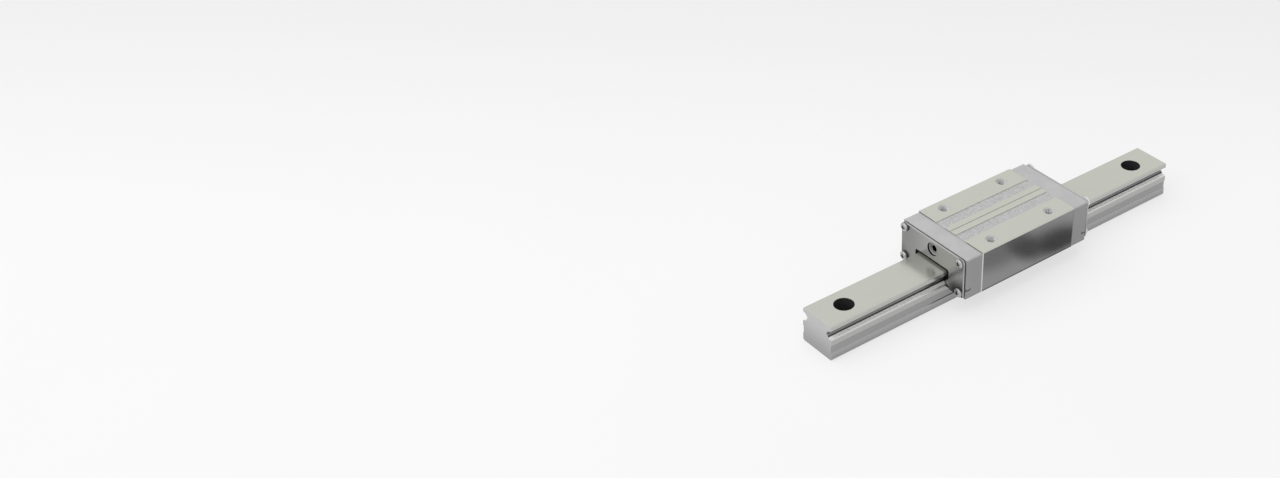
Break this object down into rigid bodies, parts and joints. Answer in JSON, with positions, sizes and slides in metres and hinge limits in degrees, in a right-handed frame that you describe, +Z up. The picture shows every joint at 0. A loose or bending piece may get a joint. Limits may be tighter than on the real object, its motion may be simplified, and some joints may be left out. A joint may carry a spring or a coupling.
{
  "type": "recirculating-ball linear guide",
  "caption": "Square-block linear guide: a ball-bearing carriage with resin end caps, seals and seal plates slides along a profiled steel rail.",
  "frame": {"origin": "middle of the rail's base face", "axes": "+X along the rail, +Z up out of the carriage's mounting face, +Y to the left seen along +X"},
  "size_m": [0.21, 0.044, 0.03],
  "materials": {
    "rail_steel": "ground bearing steel",
    "block_steel": "ground bearing steel, unground bands on top",
    "cap_resin": "grey moulded resin",
    "guide_resin": "moulded resin",
    "ball_steel": "polished",
    "band_steel": "plain strip",
    "seal_rubber": "moulded nitrile rubber",
    "plate_steel": "pressed sheet, satin",
    "screw_steel": "bright plated",
    "plug_steel": "black oxide"
  },
  "bodies": {
    "rail_body": {"rail": "rail_steel"},
    "carriage": {"carriage_block": "block_steel", "end_cap_front": "cap_resin", "end_cap_rear": "cap_resin", "return_guide_left_front": "guide_resin", "return_guide_left_rear": "guide_resin", "return_guide_right_front": "guide_resin", "return_guide_right_rear": "guide_resin", "ball_circuit_left": "ball_steel", "ball_circuit_right": "ball_steel", "retaining_band_left": "band_steel", "retaining_band_right": "band_steel", "under_seal_left": "seal_rubber", "under_seal_right": "seal_rubber", "end_seal_front": "seal_rubber", "end_seal_rear": "seal_rubber", "seal_plate_front": "plate_steel", "seal_plate_rear": "plate_steel", "seal_screws": "screw_steel", "grease_plug_front": "plug_steel", "grease_plug_rear": "plug_steel"}
  },
  "joints": [
    {"name": "carriage_slide", "type": "slide", "parent": "rail_body", "child": "carriage", "axis": [1, 0, 0], "range_m": [-0.064, 0.064]}
  ]
}
